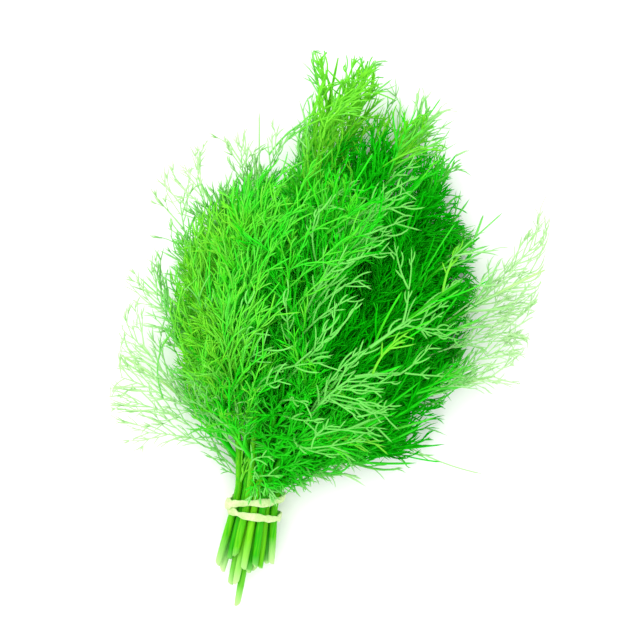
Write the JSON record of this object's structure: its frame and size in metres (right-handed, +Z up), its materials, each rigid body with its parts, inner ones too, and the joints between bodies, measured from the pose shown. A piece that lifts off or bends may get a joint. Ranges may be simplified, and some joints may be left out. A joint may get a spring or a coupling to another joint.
{
  "type": "dill bunch",
  "caption": "Bunch of fresh dill lying on its side, with feathery green fronds fanning out from bare stems held near their cut ends by a doubled elastic band.",
  "frame": {"origin": "on the table, under the middle of the band's outer turn, where that turn lies flat", "axes": "+Y along the bunch from the cut ends to the leaf tips, +Z up, +X to the right seen from above with the leaf tips away"},
  "size_m": [0.179, 0.2511, 0.0707],
  "materials": {
    "dill_leaf": "fresh green leaf and stem, faintly glossy",
    "tie_band": "matt pale cream elastic"
  },
  "bodies": {
    "root": {"dill_shoot_01": "dill_leaf", "dill_shoot_02": "dill_leaf", "dill_shoot_03": "dill_leaf", "dill_shoot_04": "dill_leaf", "dill_shoot_05": "dill_leaf", "dill_shoot_06": "dill_leaf", "dill_shoot_07": "dill_leaf", "dill_shoot_08": "dill_leaf", "dill_shoot_09": "dill_leaf", "dill_shoot_10": "dill_leaf", "dill_shoot_11": "dill_leaf", "dill_shoot_12": "dill_leaf", "dill_shoot_13": "dill_leaf", "dill_shoot_14": "dill_leaf", "dill_shoot_15": "dill_leaf", "dill_shoot_16": "dill_leaf", "dill_shoot_17": "dill_leaf", "dill_shoot_18": "dill_leaf", "tie_band": "tie_band"}
  },
  "joints": []
}
